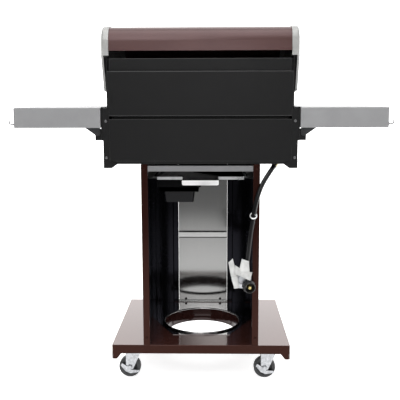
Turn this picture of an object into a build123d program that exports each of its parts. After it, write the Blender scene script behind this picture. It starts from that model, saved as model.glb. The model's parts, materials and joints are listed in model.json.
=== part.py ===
"""A three-burner gas grill on a pedestal cart that is open at the back.

Millimetres. +X is to the right of the cook, who stands at -Y and faces the grill, and +Z is up.
The origin is on the floor under the middle of the grill. "depth" is measured from the flat rear
face of the cart towards the cook, and "side" is -1 for the cook's left and 1 for the right.
"""

from build123d import *
from math import cos, radians, sin, tan
import os

os.makedirs("parts", exist_ok=True)

# --- Driving dimensions -------------------------------------------------------------------
rear_y = 286.0  # rear face of the cart
sheet = 2.0  # folded steel
fit = 0.05  # radial clearance of a running fit

base_half_width, base_depth = 300.0, 514.0
base_bottom, base_top = 105.0, 135.0
tab_bottom = 86.0

well_depth = 243.0  # middle of the cylinder well
well_radius, well_lip_radius = 136.0, 128.0
well_plate_z, well_lip_z = 136.5, 94.0
well_hole_radius = well_radius + 2

pedestal_half_width, pedestal_depth, pedestal_top = 193.0, 490.0, 745.0
rear_flange = 22.0
front_opening = 98.0  # half width between the two front columns
column_inner, column_outer, column_back = 119.0, 172.0, 466.0
brace_z = (404.0, 431.0)

body_half_width, body_flange = 312.5, 20.5
body_z = (733.0, 925.0)
lower_panel, upper_panel, baffle_top = (756.0, 890.0), (900.0, 1041.0), 1081.0
upper_panel_half, baffle_half = 295.5, 288.0
firebox_half_width, firebox_depth = 285.0, (22.0, 478.0)
firebox_wall_z, funnel_z = 805.0, 758.0
rim_z = 929.0  # top of the firebox, where the grates lie
hood_inner, hood_outer = 296.0, 299.0

cap_inner, cap_plate, cap_outer = 290.0, 307.0, 314.0
lid_rear_z, lid_crease_z, lid_top_z = 1105.0, 1137.0, 1187.0
lid_shoulder_depth, lid_top_depth = 58.0, 235.0
lid_front_depth, lid_front_z = 490.0, 985.0
lid_low_depth, lid_low_z = 495.0, 955.0
cap_rim, skin_inset = 6.0, 4.0
hinge_depth, hinge_z, hinge_radius = 100.0, 1010.0, 5.0

shelf_inner, shelf_outer, shelf_depth = 320.0, 601.0, 500.0
shelf_bottom, shelf_top, shelf_rise = 862.5, 927.0, 8.0
pivot_x, pivot_z, pivot_radius = 332.0, 845.0, 4.0
bracket_outer = 317.7
gusset_depth, gusset_sheet = 8.5, 3.0
hook_depths = (15.0, 170.0, 325.0)

panel_back, panel_front = 490.0, 541.0
knob_positions = {"left": -150.0, "middle": 0.0, "right": 150.0}
knob_z, stem_radius = 862.0, 4.0
bezel_front, knob_back, knob_front = 546.0, 550.0, 575.0
igniter_x, button_radius = 236.0, 9.0

tray_half_width, tray_depth, tray_z = 143.0, (30.0, 462.0), (692.0, 702.0)
tray_sheet, tray_lip = 1.5, 12.0
cup_x, cup_depth, cup_half_width, cup_half_depth = 73.0, 116.0, 53.0, 52.0
cup_z = (612.0, 653.5)

swivel_x, swivel_depths = 233.0, {"rear": 60.0, "front": 454.0}
wheel_radius, wheel_half_width, wheel_trail, axle_radius = 37.5, 12.0, 14.0, 4.0

# The hose hangs from its fitting under the body to the regulator: x, y, z down its middle.
hose_radius = 7.5
hose_route = [
    (-240.0, 258.0, 738.0),
    (-218.0, 280.0, 710.0),
    (-198.0, 298.0, 680.0),
    (-184.0, 307.0, 645.0),
    (-175.0, 310.0, 606.0),
    (-169.5, 310.5, 568.0),
    (-163.5, 310.0, 532.0),
    (-159.0, 310.5, 494.0),
    (-155.5, 310.0, 456.0),
    (-150.5, 309.5, 418.0),
]


# --- Helpers ------------------------------------------------------------------------------
def y_at(depth):
    """The Y of a depth in front of the rear face."""
    return rear_y - depth


def save(piece, name):
    """Label a finished piece and write it."""
    piece.part.label = name
    export_step(piece.part, f"parts/{name}.step")


def block(x, depth, z, mode=Mode.ADD):
    """A box between two limits each way."""
    middle = ((x[0] + x[1]) / 2, y_at((depth[0] + depth[1]) / 2), (z[0] + z[1]) / 2)
    with Locations(middle):
        Box(abs(x[1] - x[0]), abs(depth[1] - depth[0]), abs(z[1] - z[0]), mode=mode)


def side_block(side, x, depth, z, mode=Mode.ADD):
    """A box on one side, with x measured outwards from the middle."""
    block((side * x[0], side * x[1]), depth, z, mode)


def rod(start, end, radius, mode=Mode.ADD):
    """A round bar from one point to another."""
    line = Vector(*end) - Vector(*start)
    with BuildSketch(Plane(origin=start, z_dir=line)) as section:
        Circle(radius)
    extrude(section.sketch, amount=line.length, mode=mode)


def across_plane(depth):
    """The upright plane at a depth, with X to the right and its front towards the cook."""
    return Plane(origin=(0, y_at(depth), 0), x_dir=(1, 0, 0), z_dir=(0, -1, 0))


def side_plane(side, x, thickness):
    """The upright plane of a plate that ends at x on one side, with depth to its right."""
    start = x if side > 0 else thickness - x
    return Plane(origin=(start, rear_y, 0), x_dir=(0, -1, 0), z_dir=(-1, 0, 0))


def plate(plane, points, thickness, mode=Mode.ADD):
    """A plate with straight edges, raised from its plane."""
    with BuildSketch(plane) as outline:
        with BuildLine():
            Polyline(*points, close=True)
        make_face()
    extrude(outline.sketch, amount=thickness, mode=mode)


def tube(depths, x, z, outer, inner, mode=Mode.ADD):
    """A round tube along Y, between two depths."""
    with BuildSketch(across_plane(depths[0])) as section:
        with Locations((x, z)):
            Circle(outer)
            if inner:
                Circle(inner, mode=Mode.SUBTRACT)
    extrude(section.sketch, amount=depths[1] - depths[0], mode=mode)


# --- Cart: bottom shelf, cylinder well, pedestal --------------------------------------------
def tab_outline(corner, inward):
    """A skirt tab from its corner: square at the top, with a slanted inner end."""
    return [(corner, base_bottom + 6), (corner + inward * 28, base_bottom + 6),
            (corner + inward * 28, base_bottom), (corner + inward * 13, tab_bottom),
            (corner, tab_bottom)]


with BuildPart() as base_pan:
    block((-base_half_width, base_half_width), (0, base_depth), (base_bottom, base_top))
    fillet(base_pan.edges().filter_by(Axis.Z), 5)
    fillet(base_pan.faces().sort_by(Axis.Z)[-1].edges(), 1.5)
    pan_inside = base_half_width - sheet
    block((-pan_inside, pan_inside), (sheet, base_depth - sheet), (base_bottom, base_top - sheet),
          Mode.SUBTRACT)
    for side in (-1, 1):
        skirt = tab_outline(side * (base_half_width - 3), -side)
        plate(across_plane(0), skirt, sheet)
        plate(across_plane(base_depth - sheet), skirt, sheet)
        for corner, inward in ((3, 1), (base_depth - 3, -1)):
            plate(side_plane(side, base_half_width, sheet), tab_outline(corner, inward), sheet)
    with Locations((0, y_at(well_depth), base_top)):
        Cylinder(well_hole_radius, 4 * sheet, mode=Mode.SUBTRACT)
save(base_pan, "base_pan")

# Two channels under the shelf, with a plate over each caster.
with BuildPart() as caster_mounts:
    for side in (-1, 1):
        channel = (swivel_x - 30, swivel_x + 30)
        side_block(side, channel, (14, 500), (base_bottom, base_top - sheet))
        side_block(side, (channel[0] + sheet, channel[1] - sheet), (14, 500),
                   (base_bottom, base_top - 2 * sheet), Mode.SUBTRACT)
        for depth in swivel_depths.values():
            side_block(side, channel, (depth - 30, depth + 30), (base_bottom - 3, base_bottom))
            with Locations((side * swivel_x, y_at(depth), base_bottom)):
                Cylinder(6 + fit, 8, mode=Mode.SUBTRACT)
save(caster_mounts, "caster_mounts")

with BuildPart() as well_plate:
    plate(Plane.XY.offset(base_top),
          [(-100, y_at(98)), (100, y_at(98)), (190, y_at(283)), (190, y_at(464)),
           (-190, y_at(464)), (-190, y_at(283))], well_plate_z - base_top)
    with Locations((0, y_at(well_depth), base_top)):
        Cylinder(well_hole_radius, 4 * sheet, mode=Mode.SUBTRACT)
save(well_plate, "well_plate")

# The well narrows to a lip that carries the gas cylinder, and its rim is rolled.
with BuildPart() as tank_well:
    well_middle = (0, y_at(well_depth), 0)
    with BuildSketch(Plane(origin=well_middle, x_dir=(1, 0, 0), z_dir=(0, -1, 0))) as well_section:
        with BuildLine():
            Polyline((well_radius, well_plate_z + 2), (well_lip_radius, well_lip_z + 8),
                     (well_lip_radius, well_lip_z), (well_lip_radius + 1.5, well_lip_z),
                     (well_lip_radius + 1.5, well_lip_z + 8), (well_radius + 1.5, well_plate_z + 2),
                     close=True)
        make_face()
        with Locations((well_radius + 3, well_plate_z + 3)):
            Circle(3)
    revolve(well_section.sketch, axis=Axis(well_middle, (0, 0, 1)))
    block((-32, 32), (well_depth + 100, well_depth + 150), (110, 118), Mode.SUBTRACT)
save(tank_well, "tank_well")

for side, name in ((-1, "left_pedestal_side"), (1, "right_pedestal_side")):
    with BuildPart() as pedestal_side:
        rise = (base_top, pedestal_top)
        outer = pedestal_half_width
        web = column_back + sheet
        side_block(side, (outer - sheet, outer), (0, pedestal_depth), rise)
        side_block(side, (outer - rear_flange, outer), (0, sheet), rise)
        side_block(side, (outer - rear_flange, outer - rear_flange + sheet), (0, 14), rise)
        side_block(side, (front_opening, outer), (pedestal_depth - sheet, pedestal_depth), rise)
        side_block(side, (front_opening, front_opening + sheet), (column_back + 6, pedestal_depth), rise)
        side_block(side, (column_inner, column_outer), (column_back, web), rise)
        side_block(side, (column_inner, column_inner + sheet), (column_back, pedestal_depth), rise)
        side_block(side, (column_outer - sheet, column_outer), (column_back, pedestal_depth), rise)
    save(pedestal_side, name)

with BuildPart() as front_panel:
    block((-97.5, 97.5), (486.5, 488), (137, pedestal_top - 4))
    block((-97.5, 97.5), (474, 488), (137, 138.5))
save(front_panel, "front_panel")

# A channel across the inside of the front panel, with a bright strip on it.
with BuildPart() as front_brace:
    block((-97, 97), (479, 486.5), brace_z)
    block((-97, 97), (480.5, 486.5), (brace_z[0] + 1.5, brace_z[1] - 1.5), Mode.SUBTRACT)
    block((-97, 97), (477.5, 479), (brace_z[0] + 4, brace_z[1] - 4))
save(front_brace, "front_brace")

with BuildPart() as rear_crossbar:
    block((-170.5, 170.5), (1, 15), (722, 740))
    block((-170.5, 170.5), (2.5, 15), (723.5, 738.5), Mode.SUBTRACT)
save(rear_crossbar, "rear_crossbar")

# The frame that carries the body on the pedestal, with a hanging ledge for each edge of the tray.
with BuildPart() as support_frame:
    frame_z = (pedestal_top, pedestal_top + 8)
    for depth in ((60, 90), (400, 430)):
        block((-body_half_width + 2.5, body_half_width - 2.5), depth, frame_z)
    for side in (-1, 1):
        side_block(side, (163, pedestal_half_width), (16, 486), frame_z)
        side_block(side, (188.5, 190.5), (24, 464), (697, pedestal_top))
        side_block(side, (tray_half_width + 1.5, 190.5), (24, 464), (697, 699.5))
save(support_frame, "support_frame")

# --- Body: firebox, rear panels, side sheets -------------------------------------------------
with BuildPart() as firebox:
    middle_depth = sum(firebox_depth) / 2
    length = firebox_depth[1] - firebox_depth[0]
    shells = ((0.0, Mode.ADD), (sheet, Mode.SUBTRACT))
    for inset, mode in shells:
        width = firebox_half_width - inset
        block((-width, width), (firebox_depth[0] + inset, firebox_depth[1] - inset),
              (firebox_wall_z, rim_z), mode)
    for inset, mode in shells:
        with BuildSketch(Plane.XY.offset(firebox_wall_z)) as funnel_top:
            with Locations((0, y_at(middle_depth))):
                Rectangle(2 * (firebox_half_width - inset), length - 2 * inset)
        with BuildSketch(Plane.XY.offset(funnel_z)) as funnel_mouth:
            with Locations((0, y_at(middle_depth))):
                Rectangle(2 * (135 - inset), 260 - 2 * inset)
        loft([funnel_top.sketch, funnel_mouth.sketch], mode=mode)
    block((-hood_outer, hood_outer), (4, 486), (rim_z - sheet, rim_z))
    block((-276, 276), (34, 466), (rim_z - 2 * sheet, rim_z + sheet), Mode.SUBTRACT)
    block((-hood_outer, hood_outer), (484, 486), (rim_z, 948))
    for side in (-1, 1):
        plate(side_plane(side, hood_outer, hood_outer - hood_inner),
              [(4, 892), (4, 1086), (190, 1086), (260, 990), (486, 948), (486, 892)],
              hood_outer - hood_inner)
        rod((side * (hood_inner - 1), y_at(hinge_depth), hinge_z),
            (side * (hood_outer + 1), y_at(hinge_depth), hinge_z), hinge_radius + fit, Mode.SUBTRACT)
    for x in knob_positions.values():
        tube((475, 480), x, knob_z, 16, 0, Mode.SUBTRACT)
save(firebox, "firebox")

with BuildPart() as upper_rear_panel:
    block((-upper_panel_half, upper_panel_half), (0, 10), upper_panel)
    block((-upper_panel_half, upper_panel_half), (1.5, 10),
          (upper_panel[0] + 1.5, upper_panel[1] - 1.5), Mode.SUBTRACT)
    for side in (-1, 1):
        side_block(side, (body_half_width - body_flange - 0.2, hood_inner), (-1, 11),
                   (upper_panel[0] - 1, body_z[1] + 0.2), Mode.SUBTRACT)
save(upper_rear_panel, "upper_rear_panel")

with BuildPart() as rear_baffle:
    baffle_z = (upper_panel[1] + 0.2, baffle_top)
    block((-baffle_half, baffle_half), (6, 18), baffle_z)
    block((-baffle_half + 1.5, baffle_half - 1.5), (7.5, 18), (baffle_z[0] + 1.5, baffle_z[1] - 1.5),
          Mode.SUBTRACT)
    for side in (-1, 1):
        side_block(side, (baffle_half - 1.5, hood_inner - 0.5), (16.5, 18), baffle_z)
save(rear_baffle, "rear_baffle")

with BuildPart() as lower_rear_panel:
    panel_half = body_half_width - body_flange - 0.2
    block((-panel_half, panel_half), (0, 14), lower_panel)
    block((-panel_half, panel_half), (1.5, 14), (lower_panel[0] + 1.5, lower_panel[1] - 1.5),
          Mode.SUBTRACT)
    block((-panel_half + 8, panel_half - 8), (4, 5.5), (lower_panel[0] - 10, lower_panel[0]))
save(lower_rear_panel, "lower_rear_panel")

for side, name in ((-1, "left_body_side"), (1, "right_body_side")):
    with BuildPart() as body_side:
        flange_inner = body_half_width - body_flange
        side_block(side, (body_half_width - sheet, body_half_width), (0, panel_back), (745, body_z[1]))
        side_block(side, (hood_outer + 1, body_half_width), (0, panel_back),
                   (body_z[1] - sheet, body_z[1]))
        foot = [(body_half_width, body_z[0]), (body_half_width - 26, body_z[0]),
                (body_half_width - 44, body_z[0] + 13), (flange_inner, lower_panel[0] - 1),
                (flange_inner, body_z[1] - 4), (flange_inner + 4, body_z[1]),
                (body_half_width, body_z[1])]
        plate(across_plane(0), [(side * x, z) for x, z in foot], sheet)
    save(body_side, name)

# --- Gas train: control panel, manifold, valves, burners --------------------------------------
with BuildPart() as control_panel:
    plate(side_plane(1, body_half_width, 0),
          [(panel_back, 945), (530, 932), (panel_front, 921), (panel_front, 806), (531, 796),
           (502, 796), (502, 798), (panel_back, 798)], 2 * body_half_width)
    plate(side_plane(1, body_half_width - sheet, 0),
          [(panel_back - 2, 943), (529.4, 930), (539, 920.2), (539, 806.8), (530.2, 798),
           (panel_back - 2, 798)], 2 * (body_half_width - sheet), Mode.SUBTRACT)
    for x in knob_positions.values():
        tube((530, 550), x, knob_z, 7, 0, Mode.SUBTRACT)
    tube((530, 550), igniter_x, knob_z, 12, 0, Mode.SUBTRACT)
save(control_panel, "control_panel")

with BuildPart() as control_bezels:
    for x in knob_positions.values():
        tube((panel_front, bezel_front), x, knob_z, 31, 12)
    tube((panel_front, panel_front + 3.5), igniter_x, knob_z, 15, button_radius + 0.5)
    tube((505, panel_front), igniter_x, knob_z, 11.5, button_radius + 0.5)
    tube((505, 508), igniter_x, knob_z, 11.5, 0)
save(control_bezels, "control_bezels")

manifold_depth, manifold_z, manifold_radius = 512.0, 832.0, 10.0
pipe_x, pipe_radius, fitting_depth, fitting_z = -252.0, 5.0, 39.0, 768.0
with BuildPart() as manifold:
    rod((-226, y_at(manifold_depth), manifold_z), (230, y_at(manifold_depth), manifold_z),
        manifold_radius)
    with BuildLine() as pipe_route:
        FilletPolyline((-224, y_at(manifold_depth), manifold_z),
                       (pipe_x, y_at(manifold_depth), manifold_z),
                       (pipe_x, y_at(panel_back), 800), (pipe_x, y_at(panel_back), fitting_z),
                       (pipe_x, y_at(fitting_depth + 9.6), fitting_z), radius=12)
    with BuildSketch(Plane(origin=pipe_route.line @ 0, z_dir=pipe_route.line % 0)) as pipe_section:
        Circle(pipe_radius)
    sweep(pipe_section.sketch, path=pipe_route.line)
save(manifold, "manifold")

with BuildPart() as gas_valves:
    for x in knob_positions.values():
        block((x - 12, x + 12), (500, 528), (848, 876))
        tube((528, 533), x, knob_z, 8, 0)
        tube((484, 500), x, knob_z, 4, 1)
        rod((x, y_at(manifold_depth), manifold_z + manifold_radius),
            (x, y_at(manifold_depth), 850), 7)
        tube((508, 534), x, knob_z, stem_radius + fit, 0, Mode.SUBTRACT)
save(gas_valves, "gas_valves")

with BuildPart() as burners:
    for x in knob_positions.values():
        tube((70, 496), x, knob_z, 13, 11.5)
        tube((70, 73), x, knob_z, 13, 0)
        tube((firebox_depth[0] + sheet, 70), x, knob_z, 5, 0)
save(burners, "burners")

with BuildPart() as heat_tents:
    for x in knob_positions.values():
        plate(across_plane(60), [(x - 55, 893), (x, 915), (x + 55, 893), (x + 55, 891.5),
                                 (x, 913.5), (x - 55, 891.5)], 380)
save(heat_tents, "heat_tents")

with BuildPart() as cooking_grates:
    for side in (-1, 1):
        side_block(side, (1, 283), (28, 472), (rim_z, rim_z + 12))
        side_block(side, (11, 273), (38, 462), (rim_z, rim_z + 12), Mode.SUBTRACT)
        for number in range(12):
            x = 31 + 20.2 * number
            side_block(side, (x - 4, x + 4), (36, 464), (rim_z + 3, rim_z + 12))
        for depth in (180, 320):
            side_block(side, (10, 274), (depth - 4, depth + 4), (rim_z, rim_z + 8))
save(cooking_grates, "cooking_grates")

with BuildPart() as warming_rack:
    rack_z, rack_half, wire = 1062.0, 292.0, 2.5
    for number in range(7):
        depth = 64 + 18 * number
        rod((-rack_half, y_at(depth), rack_z), (rack_half, y_at(depth), rack_z), wire)
    for side in (-1, 1):
        rod((side * rack_half, y_at(61), rack_z), (side * rack_half, y_at(175), rack_z), wire + 0.5)
        for depth in (82, 154):
            rod((side * rack_half, y_at(depth), rack_z), (side * hood_inner, y_at(depth), rack_z), wire)
save(warming_rack, "warming_rack")


# --- Controls that move -----------------------------------------------------------------------
for place, x in knob_positions.items():
    with BuildPart() as valve_stem:
        tube((516, 566), x, knob_z, stem_radius, 0)
    save(valve_stem, f"{place}_valve_stem")

    with BuildPart() as knob:
        tube((knob_back, knob_back + 4), x, knob_z, 26, 0)
        tube((knob_back + 4, knob_front - 4), x, knob_z, 22, 0)
        fillet(knob.faces().sort_by(Axis.Y)[0].edges(), 3)
        block((x - 5, x + 5), (knob_front - 8, knob_front), (knob_z - 20, knob_z + 20))
        tube((knob_back - 1, 566.5), x, knob_z, stem_radius + fit, 0, Mode.SUBTRACT)
    save(knob, f"{place}_knob")

with BuildPart() as igniter_button:
    tube((518, 549), igniter_x, knob_z, button_radius, 0)
    fillet(igniter_button.faces().sort_by(Axis.Y)[0].edges(), 1.5)
save(igniter_button, "igniter_button")


# --- Lid ------------------------------------------------------------------------------------
def lid_edge(inset):
    """The lid's outline seen from the side, moved in from the outermost one, rear edge first."""
    rear = (inset, lid_rear_z)
    crease = (inset + 2, lid_crease_z - inset / 2)
    shoulder = (lid_shoulder_depth, lid_top_z - inset)
    top = (lid_top_depth, lid_top_z - inset)
    front = (lid_front_depth - inset, lid_front_z)
    low = (lid_low_depth - inset, lid_low_z)
    Line(rear, crease)
    TangentArc(shoulder, crease, tangent=(-1, 0))
    Line(shoulder, top)
    TangentArc(top, front, tangent=(1, 0))
    Line(front, low)
    return rear, low


with BuildPart() as lid_skin:
    with BuildSketch(side_plane(1, cap_inner, 0)) as skin_section:
        with BuildLine():
            outer_ends = lid_edge(skin_inset)
            inner_ends = lid_edge(skin_inset + sheet)
            Line(outer_ends[0], inner_ends[0])
            Line(outer_ends[1], inner_ends[1])
        make_face()
    extrude(skin_section.sketch, amount=2 * cap_inner)
    thermometer_tilt = radians(50)
    dome_radius = ((lid_front_depth - lid_top_depth) ** 2 + (lid_top_z - lid_front_z) ** 2) / (
        2 * (lid_top_z - lid_front_z)) - skin_inset
    dome_z = lid_top_z - skin_inset - dome_radius
    outward = Vector(0, -sin(thermometer_tilt), cos(thermometer_tilt))
    gauge_seat = Vector(0, y_at(lid_top_depth), dome_z) + outward * dome_radius
    rod(gauge_seat - outward * 12, gauge_seat + outward * 4, 5, Mode.SUBTRACT)
save(lid_skin, "lid_skin")

for side, name in ((-1, "left_lid_cap"), (1, "right_lid_cap")):
    with BuildPart() as lid_cap:
        cap_width = cap_outer - cap_inner
        with BuildSketch(side_plane(side, cap_outer, cap_width)) as cap_section:
            with BuildLine():
                rear_end, front_end = lid_edge(0)
                Polyline(front_end, (50, 981), rear_end)
            make_face()
        extrude(cap_section.sketch, amount=cap_width)
        outer_face = lid_cap.faces().sort_by(Axis.X)[0 if side < 0 else -1]
        rounded = [edge for edge in outer_face.edges() if (edge @ 0.5).Z > 965
                   and not ((edge @ 0.5).Z < 1080 and (edge @ 0.5).Y > y_at(300))]
        fillet(rounded, 9)
        with BuildSketch(side_plane(side, cap_plate, cap_plate - cap_inner)) as hollow_section:
            with BuildLine():
                rear_end, front_end = lid_edge(cap_rim)
                Polyline(front_end, (front_end[0], 900), (rear_end[0], 900), rear_end)
            make_face()
        extrude(hollow_section.sketch, amount=cap_plate - cap_inner, mode=Mode.SUBTRACT)
        rod((side * 280, y_at(hinge_depth), hinge_z), (side * 320, y_at(hinge_depth), hinge_z),
            hinge_radius + fit, Mode.SUBTRACT)
    save(lid_cap, name)

handle_depth, handle_z, handle_radius = 540.0, 1012.0, 11.0
with BuildPart() as lid_handle:
    rod((-238, y_at(handle_depth), handle_z), (238, y_at(handle_depth), handle_z), handle_radius)
    for side in (-1, 1):
        rod((side * 215, y_at(470), handle_z), (side * 215, y_at(handle_depth), handle_z), 7)
    rod((-238, y_at(lid_top_depth), dome_z), (238, y_at(lid_top_depth), dome_z), dome_radius + 0.1,
        Mode.SUBTRACT)
save(lid_handle, "lid_handle")

with BuildPart() as thermometer:
    rod(gauge_seat + outward * 0.2, gauge_seat + outward * 9, 28)
    rod(gauge_seat + outward * 9, gauge_seat + outward * 10.5, 24)
    rod(gauge_seat - outward * 40, gauge_seat + outward * 1, 4)
save(thermometer, "thermometer")

# --- Side shelves, which fold down on their brackets -------------------------------------------
front_gusset_depth = shelf_depth - gusset_depth - gusset_sheet
for side, name in ((-1, "left"), (1, "right")):
    with BuildPart() as shelf:
        plate(side_plane(side, shelf_outer, shelf_outer - shelf_inner),
              [(0, shelf_bottom), (0, shelf_top), (shelf_depth, shelf_top + shelf_rise),
               (shelf_depth, shelf_bottom)], shelf_outer - shelf_inner)
        for row, corner_radius in ((0, 35), (-1, 6)):
            uprights = shelf.edges().filter_by(Axis.Z).group_by(Axis.Y)[row].sort_by(Axis.X)
            fillet(uprights[0 if side < 0 else -1], corner_radius)
        fillet(shelf.faces().sort_by(Axis.Z)[-1].edges(), 3)
        offset(amount=-sheet, openings=shelf.faces().sort_by(Axis.Z)[0])
    save(shelf, f"{name}_shelf")

    with BuildPart() as shelf_fittings:
        for depth, spacer in ((gusset_depth, (sheet, gusset_depth)),
                              (front_gusset_depth, (front_gusset_depth + gusset_sheet,
                                                    shelf_depth - sheet))):
            gusset = [(323, 845), (323, 884), (405, 884), (371, 862), (338, 838.5), (332, 838.5)]
            plate(across_plane(depth), [(side * x, z) for x, z in gusset], gusset_sheet)
            tube((depth, depth + gusset_sheet), side * pivot_x, pivot_z, 9, 0)
            side_block(side, (352, 398), spacer, (870, 882))
            tube((depth - 1, depth + gusset_sheet + 1), side * pivot_x, pivot_z,
                 pivot_radius + fit, 0, Mode.SUBTRACT)
        for depth in hook_depths:
            side_block(side, (shelf_outer, shelf_outer + 2), (depth - 7, depth + 7), (869, 881))
            with BuildLine() as hook_route:
                FilletPolyline((side * (shelf_outer + 1), y_at(depth), 874),
                               (side * (shelf_outer + 18), y_at(depth), 874),
                               (side * (shelf_outer + 18), y_at(depth), 888), radius=8)
            with BuildSketch(Plane(origin=hook_route.line @ 0, z_dir=hook_route.line % 0)) as wire_end:
                Circle(2)
            sweep(wire_end.sketch, path=hook_route.line)
    save(shelf_fittings, f"{name}_shelf_fittings")

bracket_depths = ((gusset_depth + gusset_sheet + 0.5, 44), (456, front_gusset_depth - 0.5))
with BuildPart() as shelf_brackets:
    for side in (-1, 1):
        side_block(side, (body_half_width, bracket_outer), (0, 488), (822, 929))
        side_block(side, (body_half_width - 1, bracket_outer - 1.5), (1.5, 486.5), (823.5, 927.5),
                   Mode.SUBTRACT)
        for depths in bracket_depths:
            side_block(side, (body_half_width, 340), depths, (822, 859))
            tube(depths, side * pivot_x, pivot_z, pivot_radius + fit, 0, Mode.SUBTRACT)
save(shelf_brackets, "shelf_brackets")

with BuildPart() as pivot_pins:
    for side in (-1, 1):
        tube((gusset_depth - 0.5, 40), side * pivot_x, pivot_z, pivot_radius, 0)
        tube((gusset_depth - 3.5, gusset_depth - 0.5), side * pivot_x, pivot_z, 5.5, 0)
        front_face = front_gusset_depth + gusset_sheet + 0.5
        tube((460, front_face), side * pivot_x, pivot_z, pivot_radius, 0)
        tube((front_face, front_face + 3), side * pivot_x, pivot_z, 5.5, 0)
        hinge_y = y_at(hinge_depth)
        rod((side * (hood_inner - 5), hinge_y, hinge_z), (side * (cap_outer + 0.5), hinge_y, hinge_z),
            hinge_radius)
        rod((side * (cap_outer + 0.5), hinge_y, hinge_z), (side * (cap_outer + 3), hinge_y, hinge_z), 8)
save(pivot_pins, "pivot_pins")

screw_spots = [(side * 303, z) for side in (-1, 1) for z in (767, 884)]
screw_spots += [(side * 182, z) for side in (-1, 1) for z in (160, 731)]
with BuildPart() as body_screws:
    for x, z in screw_spots:
        tube((-3, 0), x, z, 4.5, 0)
    for x in (-70, 70):
        tube((484, 486.5), x, 147, 5, 0)
save(body_screws, "body_screws")

# --- Drip tray and grease cup, which come out at the back ---------------------------------------
with BuildPart() as drip_tray:
    wall = tray_sheet
    block((-tray_half_width, tray_half_width), tray_depth, tray_z)
    block((-tray_half_width - tray_lip, tray_half_width + tray_lip), tray_depth,
          (tray_z[1] - wall, tray_z[1]))
    block((-tray_half_width + wall, tray_half_width - wall),
          (tray_depth[0] + wall, tray_depth[1] - wall), (tray_z[0] + wall, tray_z[1] + 1),
          Mode.SUBTRACT)
    block((-59, 59), (tray_depth[0] - 1, tray_depth[0] + 2), (tray_z[0] + wall, tray_z[1] + 1),
          Mode.SUBTRACT)
    block((-60, 60), (0, tray_depth[0] + 1), (tray_z[0], tray_z[0] + wall))
    block((-60, 60), (0, wall), (677, tray_z[0] + wall))
    fillet(drip_tray.faces().sort_by(Axis.Z)[0].edges().filter_by(Axis.Y), 5)
    with Locations((cup_x, y_at(cup_depth), tray_z[0])):
        Cylinder(15, 10, mode=Mode.SUBTRACT)
save(drip_tray, "drip_tray")

rail_reach = cup_half_width + 13
with BuildPart() as cup_holder:
    block((cup_x - 73, cup_x + 73), (48, 184), (tray_z[0] - 1.5, tray_z[0]))
    block((cup_x - 73, cup_x + 73), (48, 49.5), (665, tray_z[0]))
    for side in (-1, 1):
        block((cup_x + side * rail_reach, cup_x + side * (rail_reach - 1.5)), (48, 184),
              (649.5, tray_z[0]))
        block((cup_x + side * rail_reach, cup_x + side * (cup_half_width + 2)), (48, 184),
              (649.5, 651))
    with Locations((cup_x, y_at(cup_depth), tray_z[0])):
        Cylinder(15, 10, mode=Mode.SUBTRACT)
save(cup_holder, "cup_holder")

with BuildPart() as grease_cup:
    for inset, low, mode in ((0.0, cup_z[0], Mode.ADD), (2.0, cup_z[0] + 2, Mode.SUBTRACT)):
        with BuildSketch(Plane.XY.offset(cup_z[1])) as cup_mouth:
            with Locations((cup_x, y_at(cup_depth))):
                RectangleRounded(2 * (cup_half_width - inset), 2 * (cup_half_depth - inset), 8)
        with BuildSketch(Plane.XY.offset(low)) as cup_floor:
            with Locations((cup_x, y_at(cup_depth))):
                RectangleRounded(2 * (cup_half_width - 5 - inset), 2 * (cup_half_depth - 5 - inset), 8)
        loft([cup_mouth.sketch, cup_floor.sketch], mode=mode)
    with BuildSketch(Plane.XY.offset(cup_z[1] - 1.8)) as cup_rim:
        with Locations((cup_x, y_at(cup_depth))):
            RectangleRounded(2 * (cup_half_width + 9), 2 * (cup_half_depth + 6), 6)
            RectangleRounded(2 * (cup_half_width - 2), 2 * (cup_half_depth - 2), 8, mode=Mode.SUBTRACT)
    extrude(cup_rim.sketch, amount=1.8)
save(grease_cup, "grease_cup")


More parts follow.
